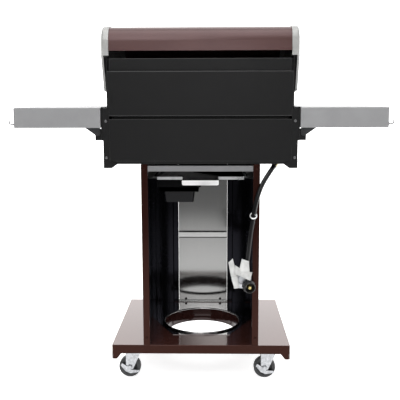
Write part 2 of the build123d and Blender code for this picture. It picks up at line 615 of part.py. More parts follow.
# --- Casters ------------------------------------------------------------------------------------
def caster(side, end):
    """A swivel caster; the two at the rear have a brake lever outside the fork."""
    name = f"{end}_{'left' if side < 0 else 'right'}"
    middle = side * swivel_x
    axle_x = middle + wheel_trail
    depth = swivel_depths[end]
    legs = ((depth - 16.5, depth - 14), (depth + 14, depth + 16.5))

    with BuildPart() as fork:
        leg = [(middle - 27, 97), (middle + 27, 97), (axle_x + 13, 34), (axle_x + 8, 28),
               (axle_x - 8, 28), (axle_x - 13, 34)]
        for near, far in legs:
            plate(across_plane(near), leg, far - near)
        block((middle - 27, middle + 27), (legs[0][0], legs[1][1]), (94, 97))
        rod((middle, y_at(depth), 97), (middle, y_at(depth), 101.5), 24)
        rod((middle, y_at(depth), 97), (middle, y_at(depth), 112), 6)
        tube((depth - 21, depth + 18), axle_x, wheel_radius, axle_radius, 0)
        tube((depth - 23, depth - 21), axle_x, wheel_radius, 7, 0)
    save(fork, f"{name}_fork")

    with BuildPart() as wheel:
        tube((depth - wheel_half_width, depth + wheel_half_width), axle_x, wheel_radius, wheel_radius, 0)
        fillet(wheel.edges().filter_by(GeomType.CIRCLE), 5)
        for near, far in ((-wheel_half_width - 1, 3 - wheel_half_width),
                          (wheel_half_width - 3, wheel_half_width + 1)):
            tube((depth + near, depth + far), axle_x, wheel_radius, 27, 11, Mode.SUBTRACT)
        tube((depth - 13, depth + 13), axle_x, wheel_radius, 10, 0)
        tube((depth - 14, depth + 14), axle_x, wheel_radius, axle_radius + fit, 0, Mode.SUBTRACT)
    save(wheel, f"{name}_wheel")

    if end == "rear":
        with BuildPart() as brake_lever:
            outline = [(31, 8), (26, 16), (6, 3), (-4, -8), (-33, -9), (-35, -16), (-2, -21), (14, -14)]
            plate(across_plane(depth - 20), [(axle_x + x, wheel_radius + z) for x, z in outline], 3)
            tube((depth - 20, depth - 17), axle_x, wheel_radius, 9, 0)
            tube((depth - 21, depth - 16.6), axle_x, wheel_radius, axle_radius + fit, 0, Mode.SUBTRACT)
        save(brake_lever, f"{name}_brake_lever")


for side in (-1, 1):
    for end in swivel_depths:
        caster(side, end)


# --- Hose, regulator and cylinder nut -------------------------------------------------------------
points = [Vector(*point) for point in hose_route]
runs = [after - before for before, after in zip(points, points[1:])]
hose_start = runs[0].normalized()
hose_end = runs[-1].normalized()
bends = []
for before, after in zip(runs, runs[1:]):
    half_turn = radians(before.get_angle(after)) / 2
    bends.append(0.45 * min(before.length, after.length) / tan(half_turn))
print("hose bend radii:", [round(bend) for bend in bends])

with BuildPart() as gas_hose:
    with BuildLine() as hose_line:
        FilletPolyline(*points, radius=bends)
    with BuildSketch(Plane(origin=points[0], z_dir=hose_start)) as hose_section:
        Circle(hose_radius)
    sweep(hose_section.sketch, path=hose_line.line)
print("hose length:", round(sum(edge.length for edge in hose_line.edges())))
save(gas_hose, "gas_hose")

with BuildPart() as hose_fitting:
    nut_middle = (pipe_x, y_at(fitting_depth), fitting_z - 12)
    with BuildSketch(Plane(origin=nut_middle, x_dir=(1, 0, 0), z_dir=(0, 0, 1))) as nut_section:
        RegularPolygon(11, 6)
    extrude(nut_section.sketch, amount=22)
    rod(points[0] - hose_start * 24, points[0], 9.5)
save(hose_fitting, "hose_fitting")

regulator_middle = Vector(-134, 304, 371)
nut_axis = Vector(-0.22, 0.95, -0.1).normalized()
nut_start = Vector(-155, 316, 352)
with BuildPart() as regulator:
    rod(points[-1], points[-1] + hose_end * 24, 9.5)
    rod(regulator_middle - Vector(0, 15, 0), regulator_middle + Vector(0, 11, 0), 27)
    rod(regulator_middle - Vector(0, 3, 0), regulator_middle + Vector(0, 3, 0), 32)
    rod(regulator_middle + Vector(-12, 0, -10), nut_start - nut_axis * 8, 8)
    rod(nut_start - nut_axis * 10, nut_start + nut_axis * 24, 6)
save(regulator, "regulator")

with BuildPart() as tank_nut:
    nut_front = nut_start + nut_axis * 26
    with BuildSketch(Plane(origin=nut_start, z_dir=nut_axis)) as grip:
        Circle(20)
        with PolarLocations(19, 10):
            Circle(3.2)
    extrude(grip.sketch, amount=16)
    rod(nut_start, nut_front, 18.5)
    rod(nut_start + nut_axis * 4, nut_start + nut_axis * 30, 15.5, Mode.SUBTRACT)
    rod(nut_start - nut_axis, nut_start + nut_axis * 5, 9, Mode.SUBTRACT)
save(tank_nut, "tank_nut")
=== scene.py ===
"""The looks of a three-burner gas grill on a pedestal cart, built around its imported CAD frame.

Metres, in the frame's axes: +X to the right of the cook, who stands at -Y, and +Z up. The camera
stands behind the grill, at +Y. "side" is -1 for the cook's left and 1 for the right.
"""

import json
from math import cos, pi, radians, sin

import bmesh
import bpy
from mathutils import Matrix, Vector

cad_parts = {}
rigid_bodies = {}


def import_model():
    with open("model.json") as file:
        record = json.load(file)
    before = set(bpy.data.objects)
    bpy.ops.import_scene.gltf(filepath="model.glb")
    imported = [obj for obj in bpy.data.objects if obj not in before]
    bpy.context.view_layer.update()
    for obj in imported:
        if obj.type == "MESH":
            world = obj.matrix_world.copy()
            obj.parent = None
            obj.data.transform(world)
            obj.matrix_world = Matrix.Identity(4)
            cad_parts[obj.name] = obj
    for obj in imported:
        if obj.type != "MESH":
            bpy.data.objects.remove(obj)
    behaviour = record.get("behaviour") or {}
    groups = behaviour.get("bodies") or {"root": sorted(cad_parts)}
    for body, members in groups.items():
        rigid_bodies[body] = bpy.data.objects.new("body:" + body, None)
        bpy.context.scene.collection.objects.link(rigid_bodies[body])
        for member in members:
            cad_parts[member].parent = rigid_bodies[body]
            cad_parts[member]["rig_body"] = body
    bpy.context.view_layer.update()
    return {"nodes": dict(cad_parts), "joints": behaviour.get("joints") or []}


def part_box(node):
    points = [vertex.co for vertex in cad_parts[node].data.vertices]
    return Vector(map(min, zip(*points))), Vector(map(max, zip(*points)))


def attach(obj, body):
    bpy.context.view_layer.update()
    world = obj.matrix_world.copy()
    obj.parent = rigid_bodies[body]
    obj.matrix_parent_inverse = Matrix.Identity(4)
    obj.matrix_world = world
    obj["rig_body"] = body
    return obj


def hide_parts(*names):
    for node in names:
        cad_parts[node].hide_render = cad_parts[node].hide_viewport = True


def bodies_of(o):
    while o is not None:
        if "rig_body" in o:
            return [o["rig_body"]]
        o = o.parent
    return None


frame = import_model()

SIDES = {"left": -1, "right": 1}
X, Y, Z = Vector((1, 0, 0)), Vector((0, 1, 0)), Vector((0, 0, 1))


def middle(node):
    """The middle of a CAD node's box."""
    low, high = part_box(node)
    return (low + high) / 2


# --- Camera, floor and light ------------------------------------------------------------------
CAMERA_PLACE = (-0.0415, 2.330, 0.931)
CAMERA_PAN, CAMERA_TILT, CAMERA_ROLL = 181.2, 81.6, -0.15
LENS_MM, SENSOR_MM = 57.2, 36.0


def add_camera():
    """Behind the grill, level with the shelves, looking slightly down."""
    lens = bpy.data.cameras.new("camera")
    lens.lens, lens.sensor_width = LENS_MM, SENSOR_MM
    camera = bpy.data.objects.new("camera", lens)
    bpy.context.scene.collection.objects.link(camera)
    camera.location = CAMERA_PLACE
    aim = Matrix.Rotation(radians(CAMERA_PAN), 3, "Z") @ Matrix.Rotation(radians(CAMERA_TILT), 3, "X")
    camera.rotation_euler = (aim @ Matrix.Rotation(radians(CAMERA_ROLL), 3, "Z")).to_euler()
    bpy.context.scene.camera = camera


def add_softbox(name, place, target, size, power):
    """A square area light that faces a target."""
    lamp = bpy.data.lights.new(name, "AREA")
    lamp.shape, lamp.size, lamp.energy = "SQUARE", size, power
    light = bpy.data.objects.new(name, lamp)
    bpy.context.scene.collection.objects.link(light)
    light.location = place
    light.rotation_euler = (Vector(target) - Vector(place)).to_track_quat("-Z", "Y").to_euler()


def add_room():
    """Light from all round: a white backdrop at -Y, fading to a dim room behind the camera."""
    world = bpy.data.worlds.new("studio")
    world.use_nodes = True
    nodes, links = world.node_tree.nodes, world.node_tree.links
    way = nodes.new("ShaderNodeSeparateXYZ")
    links.new(nodes.new("ShaderNodeTexCoord").outputs["Generated"], way.inputs["Vector"])
    span = nodes.new("ShaderNodeMapRange")
    span.inputs["From Min"].default_value, span.inputs["From Max"].default_value = 1.0, -1.0
    links.new(way.outputs["Y"], span.inputs["Value"])
    glow = nodes.new("ShaderNodeValToRGB")
    for place, level in ((0.36, 0.135), (0.62, 0.42)):
        glow.color_ramp.elements.new(place).color = (level, level, level, 1.0)
    glow.color_ramp.elements[0].color = (0.095, 0.095, 0.095, 1.0)
    glow.color_ramp.elements[-1].position = 0.85
    links.new(span.outputs["Result"], glow.inputs["Fac"])
    links.new(glow.outputs["Color"], nodes["Background"].inputs["Color"])
    nodes["Background"].inputs["Strength"].default_value = 2.5
    bpy.context.scene.world = world


def add_floor():
    reach = 9
    floor = bpy.data.meshes.new("floor")
    corners = [(-reach, -reach, 0), (reach, -reach, 0), (reach, reach, 0), (-reach, reach, 0)]
    floor.from_pydata(corners, [], [(0, 1, 2, 3)])
    floor.materials.append(paper_sweep())
    floor_object = bpy.data.objects.new("floor", floor)
    bpy.context.scene.collection.objects.link(floor_object)


def add_studio():
    """A photo studio: five softboxes in a lit room, over a paper floor."""
    bpy.context.scene.view_settings.view_transform = "Standard"
    add_room()
    add_softbox("key", (0.7, 3.2, 3.0), (0, 0.2, 0.9), 1.6, 30)
    add_softbox("low", (-0.13, 2.6, 1.38), (-0.08, -0.2, 0.29), 0.5, 4)
    add_softbox("fill", (-2.4, 1.8, 1.3), (0, 0.1, 0.6), 1.4, 8)
    add_softbox("card", (0.06, 3.3, 1.21), (0.0, 0, 0.14), 0.58, 2.6)
    add_softbox("top", (0, 0.9, 3.1), (0, 0.1, 1.0), 2.0, 34)
    add_floor()


# --- Materials ----------------------------------------------------------------------------------
class Finish:
    """A node material whose pattern is placed in metres, in the frame's axes."""

    def __init__(self, name, **sockets):
        self.material = bpy.data.materials.new(name)
        self.material.use_nodes = True
        self.tree = self.material.node_tree
        self.shader = self.tree.nodes["Principled BSDF"]
        self.place = self.tree.nodes.new("ShaderNodeTexCoord").outputs["Object"]
        for socket, value in sockets.items():
            label = socket.replace("_", " ").title().replace("Ior", "IOR")
            self.shader.inputs[label].default_value = value

    def link(self, source, target):
        self.tree.links.new(source, target)

    def stretched(self, scale):
        """The pattern's coordinates, scaled by a different amount along each axis."""
        mapping = self.tree.nodes.new("ShaderNodeMapping")
        mapping.inputs["Scale"].default_value = scale
        self.link(self.place, mapping.inputs["Vector"])
        return mapping.outputs["Vector"]

    def noise(self, scale, detail=3.0, stretch=None):
        texture = self.tree.nodes.new("ShaderNodeTexNoise")
        texture.inputs["Scale"].default_value = scale
        texture.inputs["Detail"].default_value = detail
        self.link(self.stretched(stretch) if stretch else self.place, texture.inputs["Vector"])
        return texture.outputs["Fac"]

    def ramp(self, factor, stops):
        """A colour ramp with (position, colour) stops."""
        ramp = self.tree.nodes.new("ShaderNodeValToRGB")
        elements = ramp.color_ramp.elements
        while len(elements) < len(stops):
            elements.new(0.5)
        for element, (position, colour) in zip(elements, stops):
            element.position = position
            element.color = (*colour, 1.0)
        self.link(factor, ramp.inputs["Fac"])
        return ramp.outputs["Color"]

    def paint(self, factor, dark, light, low=0.3, high=0.7):
        self.link(self.ramp(factor, [(low, dark), (high, light)]), self.shader.inputs["Base Color"])

    def roughen(self, factor, low, high):
        span = self.tree.nodes.new("ShaderNodeMapRange")
        span.inputs["From Min"].default_value, span.inputs["From Max"].default_value = 0.3, 0.7
        span.inputs["To Min"].default_value, span.inputs["To Max"].default_value = low, high
        self.link(factor, span.inputs["Value"])
        self.link(span.outputs["Result"], self.shader.inputs["Roughness"])

    def emboss(self, height, strength, depth=0.001):
        bump = self.tree.nodes.new("ShaderNodeBump")
        bump.inputs["Strength"].default_value = strength
        bump.inputs["Distance"].default_value = depth
        self.link(height, bump.inputs["Height"])
        self.link(bump.outputs["Normal"], self.shader.inputs["Normal"])


def shade(colour, share):
    return tuple(channel * share for channel in colour)


def paper_sweep():
    """White paper that glows a little, fading to grey from behind the grill to past the camera."""
    finish = Finish("backdrop_paper", emission_strength=0.8)
    across = finish.tree.nodes.new("ShaderNodeSeparateXYZ")
    finish.link(finish.place, across.inputs["Vector"])
    span = finish.tree.nodes.new("ShaderNodeMapRange")
    span.inputs["From Min"].default_value, span.inputs["From Max"].default_value = 0.4, 3.0
    finish.link(across.outputs["Y"], span.inputs["Value"])
    tone = finish.ramp(span.outputs["Result"], [(0.0, (0.94, 0.94, 0.94)), (1.0, (0.16, 0.16, 0.16))])
    finish.link(tone, finish.shader.inputs["Base Color"])
    finish.link(tone, finish.shader.inputs["Emission Color"])
    finish.roughen(finish.noise(8.0), 0.88, 0.92)
    return finish.material


def enamel(name, colour, roughness=0.08, mirror=(1.0, 1.0, 1.0), strength=0.5):
    """Glossy baked enamel: faint clouding, a little orange peel and a tinted mirror layer."""
    finish = Finish(name, specular_ior_level=strength, specular_tint=(*mirror, 1.0))
    finish.paint(finish.noise(14.0, 5.0), shade(colour, 0.93), shade(colour, 1.07))
    finish.roughen(finish.noise(5.0, 4.0), roughness * 0.85, roughness * 1.2)
    finish.emboss(finish.noise(340.0, 2.0), 0.02, 0.0003)
    return finish.material


def powder(name, colour, roughness=0.45, metallic=0.0, grain=0.16, clouding=0.05, shine=0.3):
    """Powder coat: a fine pebbled skin that scatters the light."""
    finish = Finish(name, metallic=metallic, specular_ior_level=shine)
    finish.paint(finish.noise(16.0, 6.0), shade(colour, 1 - clouding), shade(colour, 1 + clouding))
    finish.roughen(finish.noise(9.0, 4.0), roughness * 0.93, roughness * 1.06)
    finish.emboss(finish.noise(1100.0, 2.0), grain, 0.0003)
    return finish.material


def brushed(name, colour, stretch, turn, roughness=0.13, depth=0.03):
    """Metal with fine grinding lines along the axis that stretch leaves long."""
    finish = Finish(name, metallic=1.0, anisotropic=0.8, anisotropic_rotation=turn)
    lines = finish.noise(1.0, 4.0, stretch)
    finish.paint(lines, shade(colour, 0.93), shade(colour, 1.04))
    finish.roughen(lines, roughness * 0.85, roughness * 1.15)
    finish.emboss(lines, depth, 0.0002)
    return finish.material


def metal(name, colour, roughness, mottle=90.0, depth=0.04, cloud=0.9):
    """Plated, polished or cast metal, by its roughness and the size of its mottling."""
    finish = Finish(name, metallic=1.0)
    finish.paint(finish.noise(mottle, 5.0), shade(colour, cloud), colour)
    finish.roughen(finish.noise(mottle / 3, 4.0), roughness * 0.7, roughness * 1.3)
    finish.emboss(finish.noise(mottle * 6, 3.0), depth, 0.0003)
    return finish.material


def moulded(name, colour, roughness=0.5, grain=0.12, scale=700.0, shine=0.5):
    """Moulded plastic or rubber with a fine matt texture."""
    finish = Finish(name, specular_ior_level=shine)
    finish.paint(finish.noise(40.0, 4.0), shade(colour, 0.8), shade(colour, 1.2))
    finish.roughen(finish.noise(60.0, 3.0), roughness * 0.88, roughness * 1.1)
    finish.emboss(finish.noise(scale, 3.0), grain, 0.0004)
    return finish.material


def glass(name):
    """Clear glass with the faintest wipe marks."""
    finish = Finish(name, transmission_weight=1.0, ior=1.5)
    finish.paint(finish.noise(30.0), (0.96, 0.96, 0.96), (1.0, 1.0, 1.0))
    finish.roughen(finish.noise(45.0, 4.0), 0.01, 0.05)
    return finish.material


finishes = {
    "espresso": enamel("espresso_enamel", (0.0155, 0.0048, 0.0037), 0.08, (0.5, 0.25, 0.2), 0.5),
    # The base's upward faces: the same enamel painted lighter and glossier, a painted reflection of the
    # bright room.
    "base_top": enamel("base_top_lit_enamel", (0.056, 0.020, 0.016), 0.06, (1.0, 0.75, 0.7), 0.75),
    "lid": enamel("lid_enamel", (0.060, 0.025, 0.022), 0.32, (1.0, 0.78, 0.80), 0.62),
    "inside_black": enamel("inside_enamel", (0.003, 0.003, 0.0035), 0.1, (0.7, 0.7, 0.9), 0.16),
    "well_black": metal("well_black_plate", (0.45, 0.44, 0.44), 0.08, 40.0, 0.01, 0.95),
    # Near black for the shade in the tray bay: painted shade on the tray's inside and on the cup holder.
    "painted_shade_black": powder("painted_shade_black_powder", (0.003, 0.003, 0.0033), 0.6, shine=0.03),
    "cup_black": powder("cup_black_enamel", (0.004, 0.004, 0.0052), 0.3, shine=0.2),
    # A lighter grey metal for the well's rolled rim: a painted highlight on its curl.
    "rim": metal("rolled_rim_highlight", (0.50, 0.49, 0.49), 0.2, 90.0, 0.02, 0.9),
    "well_brown": enamel("well_wall_enamel", (0.020, 0.007, 0.006), 0.07, (0.8, 0.7, 0.7), 0.5),
    "dark_grey": powder("dark_grey_powder", (0.0072, 0.0072, 0.0075), 0.46, shine=0.2),
    # A lighter grey for the rounded folds: a painted highlight along the panels' edges.
    "fold_highlight_grey": powder("fold_highlight_grey_powder", (0.05, 0.05, 0.051), 0.3),
    "mid_grey": powder("shelf_powder", (0.305, 0.305, 0.311), 0.4, 0.1),
    "silver": powder("silver_powder", (0.40, 0.40, 0.39), 0.34, 0.2, 0.1),
    "frame_grey": powder("frame_powder", (0.20, 0.20, 0.205), 0.4, 0.1),
    "black": powder("black_powder", (0.004, 0.004, 0.0042), 0.38),
    "charcoal": powder("charcoal_powder", (0.035, 0.036, 0.038), 0.36),
    "stainless_upright": brushed("stainless_upright", (0.27, 0.27, 0.266), (900, 900, 5), 0.0),
    "stainless_across": brushed("stainless_across", (0.45, 0.45, 0.445), (5, 900, 900), 0.25),
    "galvanised": metal("galvanised_sheet", (0.66, 0.67, 0.68), 0.3, 60.0, 0.05, 0.8),
    "zinc": metal("zinc_plate", (0.50, 0.51, 0.53), 0.24, 120.0, 0.06, 0.62),
    "chrome": metal("chrome_plate", (0.82, 0.82, 0.84), 0.07, 50.0, 0.01, 0.97),
    "screw": metal("screw_zinc", (0.70, 0.70, 0.70), 0.3, 200.0, 0.03, 0.85),
    "hook_wire": metal("hook_wire", (0.20, 0.20, 0.205), 0.4, 200.0, 0.03, 0.85),
    "die_cast": metal("die_cast_zinc", (0.50, 0.51, 0.53), 0.38, 260.0, 0.14, 0.8),
    "brass": metal("brass_turned", (0.80, 0.66, 0.28), 0.2, 150.0, 0.04, 0.85),
    "burner_steel": metal("burner_steel", (0.42, 0.40, 0.38), 0.35, 40.0, 0.06, 0.7),
    "iron": powder("porcelain_iron", (0.014, 0.014, 0.015), 0.3, 0.0, 0.3),
    "tread": moulded("wheel_tread", (0.030, 0.031, 0.033), 0.55),
    "hub": moulded("wheel_hub", (0.022, 0.022, 0.024), 0.4),
    "hose": moulded("hose_rubber", (0.003, 0.003, 0.0034), 0.16, 0.03, 500.0, 0.3),
    "nylon": moulded("black_nylon", (0.013, 0.013, 0.014), 0.42),
    "paper": moulded("tag_paper", (0.58, 0.58, 0.57), 0.7, 0.05, 300.0),
    "pull_zinc": metal("pull_zinc", (0.93, 0.93, 0.93), 0.45, 60.0, 0.03, 0.95),
    "grip": moulded("knob_grip", (0.02, 0.02, 0.021), 0.33),
    "dial": moulded("dial_white", (0.75, 0.75, 0.73), 0.5, 0.02),
    "red": moulded("red_mark", (0.45, 0.02, 0.015), 0.4, 0.02),
    "glass": glass("gauge_glass"),
}


# --- Pieces ---------------------------------------------------------------------------------------
def place_piece(name, mesh, body, replaced=()):
    """Links a finished mesh as a piece that rides on a body."""
    piece = bpy.data.objects.new(name, mesh)
    bpy.context.scene.collection.objects.link(piece)
    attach(piece, body)
    if replaced:
        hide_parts(*replaced)
    return piece


def joint(name):
    return next(entry for entry in frame["joints"] if entry["name"] == name)


def body_of(node):
    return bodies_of(frame["nodes"][node])[0]


def face_width(face):
    """About how wide a face is across its narrow way."""
    return face.calc_area() / max(edge.calc_length() for edge in face.edges)


def softened(node, finish, fold=0.0016, rim=0.0004, paint_face=None, extra=(), edge_finish=0):
    """Stands for a sheet or cast CAD node: the same shape with rounded folds and rims.

    paint_face gives the index of each face's finish, among finish and the extra ones; edge_finish
    is that of the rounded edges, where it isn't 0; a lighter one there is a painted highlight on the
    folds.
    """
    bm = bmesh.new()
    bm.from_mesh(frame["nodes"][node].data)
    bmesh.ops.remove_doubles(bm, verts=bm.verts, dist=1e-6)
    bmesh.ops.dissolve_limit(bm, angle_limit=radians(0.5), verts=bm.verts, edges=bm.edges)
    bm.normal_update()
    weights = bm.edges.layers.float.new("bevel_weight_edge")
    for edge in bm.edges:
        if len(edge.link_faces) == 2 and edge.calc_face_angle(0.0) > radians(32):
            narrow = min(face_width(face) for face in edge.link_faces)
            edge[weights] = 1.0 if narrow > 3 * fold else rim / fold
    for face in bm.faces:
        face.smooth = True
        face.material_index = paint_face(face) if paint_face else 0
    mesh = bpy.data.meshes.new(node + "_skin")
    bm.to_mesh(mesh)
    bm.free()
    for material in (finish, *extra):
        mesh.materials.append(finishes[material])
    piece = place_piece(node + "_skin", mesh, body_of(node), [node])
    bevel = piece.modifiers.new("rounded_edges", "BEVEL")
    bevel.limit_method, bevel.width, bevel.segments = "WEIGHT", fold, 3
    bevel.material = edge_finish or -1
    smooth = piece.modifiers.new("even_shading", "WEIGHTED_NORMAL")
    smooth.keep_sharp = True
    return piece


def lathe(bm, origin, axis, profile, steps=40, flutes=0, swell=0.0):
    """Turns a closed profile of (radius, distance along the axis) points about an axis.

    A point with a third value of 1 is scalloped: its radius swells and shrinks with the flutes.
    """
    turn = Vector(axis).to_track_quat("Z", "Y").to_matrix()
    rings = []
    for step in range(steps):
        angle = 2 * pi * step / steps
        wave = 1 + swell * cos(flutes * angle)
        ring = []
        for radius, along, *scalloped in profile:
            reach = radius * wave if any(scalloped) else radius
            spoke = Vector((reach * cos(angle), reach * sin(angle), along))
            ring.append(bm.verts.new(Vector(origin) + turn @ spoke))
        rings.append(ring)
    for before, after in zip(rings, rings[1:] + rings[:1]):
        for low in range(len(profile)):
            high = (low + 1) % len(profile)
            bm.faces.new((before[low], after[low], after[high], before[high]))


def slab(bm, outline, thickness):
    """A plate from a closed outline of points, made thick along a vector."""
    near = [bm.verts.new(point) for point in outline]
    far = [bm.verts.new(Vector(point) + Vector(thickness)) for point in outline]
    bm.faces.new(near)
    bm.faces.new(far[::-1])
    for index in range(len(near)):
        after = (index + 1) % len(near)
        bm.faces.new((near[after], near[index], far[index], far[after]))


def brick(bm, low, high):
    """A box between two corners."""
    (x0, y0, z0), (x1, y1, z1) = low, high
    slab(bm, [(x0, y0, z0), (x1, y0, z0), (x1, y1, z0), (x0, y1, z0)], (0, 0, z1 - z0))


def finish_mesh(bm, name, finish_names, smooth=True):
    """Welds and closes a mesh, turns its faces outwards and gives it its finishes."""
    bmesh.ops.remove_doubles(bm, verts=bm.verts, dist=1e-7)
    bmesh.ops.recalc_face_normals(bm, faces=bm.faces)
    for face in bm.faces:
        face.smooth = smooth
    mesh = bpy.data.meshes.new(name)
    bm.to_mesh(mesh)
    bm.free()
    if smooth:
        mesh.set_sharp_from_angle(angle=radians(35))
    for finish_name in finish_names:
        mesh.materials.append(finishes[finish_name])
    return mesh


def turned(name, body, finish, parts, replaced=(), steps=40):
    """A piece of one or more turned solids, each an (origin, axis, profile)."""
    bm = bmesh.new()
    for origin, axis, profile in parts:
        lathe(bm, origin, axis, profile, steps)
    return place_piece(name, finish_mesh(bm, name, [finish]), body, replaced)


def tube_along(name, points, radius, body, finish, closed=False):
    """A round wire or pipe along a smooth line."""
    data = bpy.data.curves.new(name, "CURVE")
    data.dimensions, data.bevel_depth, data.bevel_resolution = "3D", 1.0, 4
    data.resolution_u, data.use_fill_caps = 8, True
    spline = data.splines.new("NURBS")
    spline.points.add(len(points) - 1)
    for control, point in zip(spline.points, points):
        control.co, control.radius = (*point, 1.0), radius
    spline.order_u, spline.use_endpoint_u, spline.use_cyclic_u = 3, not closed, closed
    data.materials.append(finishes[finish])
    piece = bpy.data.objects.new(name, data)
    bpy.context.scene.collection.objects.link(piece)
    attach(piece, body)
    return piece


# --- CAD sheets and castings, with rounded folds ----------------------------------------------------
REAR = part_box("lower_rear_panel")[1].y


def depth_of(face):
    """How far a face's middle is in front of the rear plane."""
    return REAR - face.calc_center_median().y


def add_cart():
    # Upward faces of the base take the lighter top finish: a painted reflection on the same enamel.
    softened("base_pan", "espresso", 0.0022, extra=["base_top"],
             paint_face=lambda face: int(face.normal.z > 0.5))
    softened("well_plate", "well_black", 0.0006, 0.0003)
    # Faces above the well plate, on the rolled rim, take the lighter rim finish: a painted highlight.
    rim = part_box("well_plate")[1].z + 0.0001
    softened("tank_well", "well_brown", 0.0008, extra=["rim"],
             paint_face=lambda face: int(face.calc_center_median().z > rim))
    plates_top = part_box("caster_mounts")[0].z + 0.0031
    softened("caster_mounts", "black", 0.0012, extra=["zinc"],
             paint_face=lambda face: int(face.calc_center_median().z < plates_top))
    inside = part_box("left_pedestal_side")[0].x
    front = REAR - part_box("left_pedestal_side")[0].y

    def inside_face(face):
        """1 inside the cylinder bay, where the sheet takes a near-black finish, darker than outside."""
        return int(abs(face.calc_center_median().x) < abs(inside) - 0.001
                   and 0.0145 < depth_of(face) < front - 0.0005)

    for hand in SIDES:
        softened(f"{hand}_pedestal_side", "espresso", 0.0018, extra=["inside_black"],
                 paint_face=inside_face)
    softened("front_panel", "stainless_upright", 0.0009)
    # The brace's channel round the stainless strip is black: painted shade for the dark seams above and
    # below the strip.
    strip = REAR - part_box("front_brace")[1].y + 0.0013
    softened("front_brace", "black", 0.0008, extra=["stainless_across"],
             paint_face=lambda face: int(depth_of(face) < strip))
    softened("rear_crossbar", "frame_grey", 0.0015)
    softened("support_frame", "black", 0.0014)


def add_slot_shade_sheet():
    """A brown sheet behind the slot in the well's wall, put there as painted shade that darkens the
    slot.
    """
    low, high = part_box("tank_well")
    foot = Vector(((low.x + high.x) / 2, (low.y + high.y) / 2, low.z + 0.010))
    radius, height, thickness = 0.1322, 0.018, 0.001
    bm = bmesh.new()
    edge = [foot + Vector((radius * cos(radians(turn)), radius * sin(radians(turn)), 0))
            for turn in range(-108, -71, 3)]
    for before, after in zip(edge, edge[1:]):
        slab(bm, [before, after, after + Z * height, before + Z * height],
             ((before + after) / 2 - foot).normalized() * thickness)
    place_piece("well_slot_shade", finish_mesh(bm, "well_slot_shade", ["well_brown"]), "cart")


def add_body():
    for node in ("upper_rear_panel", "rear_baffle", "lower_rear_panel"):
        # The rounded folds take the lighter edge finish: a painted highlight along each fold.
        softened(node, "dark_grey", 0.0018, extra=["fold_highlight_grey"], edge_finish=1)
    for node in ("firebox", "left_body_side", "right_body_side"):
        softened(node, "dark_grey", 0.0018)
    softened("control_panel", "stainless_across", 0.0025)
    softened("control_bezels", "chrome", 0.0012)
    softened("manifold", "burner_steel", 0.0006)
    softened("gas_valves", "brass", 0.001)
    softened("burners", "burner_steel", 0.0006)
    softened("heat_tents", "burner_steel", 0.001)
    softened("cooking_grates", "iron", 0.0014)
    softened("warming_rack", "chrome", 0.0005)
    softened("shelf_brackets", "black", 0.0016)
    softened("pivot_pins", "nylon", 0.0006)
    softened("hose_fitting", "brass", 0.0008)
    for node in ("left_valve_stem", "middle_valve_stem", "right_valve_stem"):
        softened(node, "brass", 0.0005)
    softened("igniter_button", "nylon", 0.0008)


def add_lid():
    softened("lid_skin", "lid", 0.0008)
    for hand in SIDES:
        softened(f"{hand}_lid_cap", "silver", 0.0012)
    softened("lid_handle", "stainless_across", 0.0012)


def add_shelves():
    for hand in SIDES:
        edge = abs(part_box(f"{hand}_shelf")[0 if hand == "left" else 1].x)
        softened(f"{hand}_shelf", "mid_grey", 0.0022)
        softened(f"{hand}_shelf_fittings", "charcoal", 0.0008, extra=["hook_wire"],
                 paint_face=lambda face: int(abs(face.calc_center_median().x) > edge - 0.0002))


def add_tray():
    low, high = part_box("drip_tray")
    hem = high.y - 0.034
    pull_top = low.z + 0.0155

    def tray_face(face):
        """1 inside and under the tray, painted near black as shade, 2 on the pull lip at its back edge.
        """
        place = face.calc_center_median()
        if place.y < hem or face.normal.y < 0.5:
            return 1
        return 2 if place.z < pull_top else 0

    softened("drip_tray", "galvanised", 0.0009, extra=["painted_shade_black", "pull_zinc"], paint_face=tray_face)
    # The cup holder is painted near black: painted shade under the tray.
    softened("cup_holder", "painted_shade_black", 0.0009)
    softened("grease_cup", "cup_black", 0.0009)


# --- Casters ------------------------------------------------------------------------------------
def add_wheel(name):
    """A hard wheel: a crowned tread on a ribbed core, with a pressed cap over each bearing."""
    hub, across = middle(f"{name}_wheel"), Y
    tread = [(0.0265, -0.012), (0.0335, -0.012), (0.0362, -0.0107), (0.0373, -0.008), (0.0375, 0),
             (0.0373, 0.008), (0.0362, 0.0107), (0.0335, 0.012), (0.0265, 0.012)]
    turned(f"{name}_tread", f"{name}_roller", "tread", [(hub, across, tread)],
           [f"{name}_wheel"], 64)
    bm = bmesh.new()
    core = [(0.0041, 0.0128), (0.0094, 0.0128), (0.0104, 0.0112), (0.0112, 0.0045), (0.024, 0.0045),
            (0.0255, 0.0112), (0.0268, 0.0115)]
    lathe(bm, hub, across, [(r, -h) for r, h in core] + core[::-1], 48)
    for rib in range(8):
        spoke = Matrix.Rotation(2 * pi * rib / 8, 3, "Y")
        corners = [hub + spoke @ Vector(point) for point in
                   ((0.0098, -0.0095, -0.0011), (0.0256, -0.0095, -0.0011),
                    (0.0256, 0.0095, -0.0011), (0.0098, 0.0095, -0.0011))]
        slab(bm, corners, spoke @ Vector((0, 0, 0.0022)))
    place_piece(f"{name}_core", finish_mesh(bm, f"{name}_core", ["hub"]), f"{name}_roller")
    cap = [(0.0042, 0.0126), (0.0088, 0.0126), (0.0086, 0.0133), (0.0070, 0.0138), (0.0042, 0.0138)]
    turned(f"{name}_bearing_caps", f"{name}_roller", "zinc",
           [(hub, across, cap), (hub, -across, cap)])


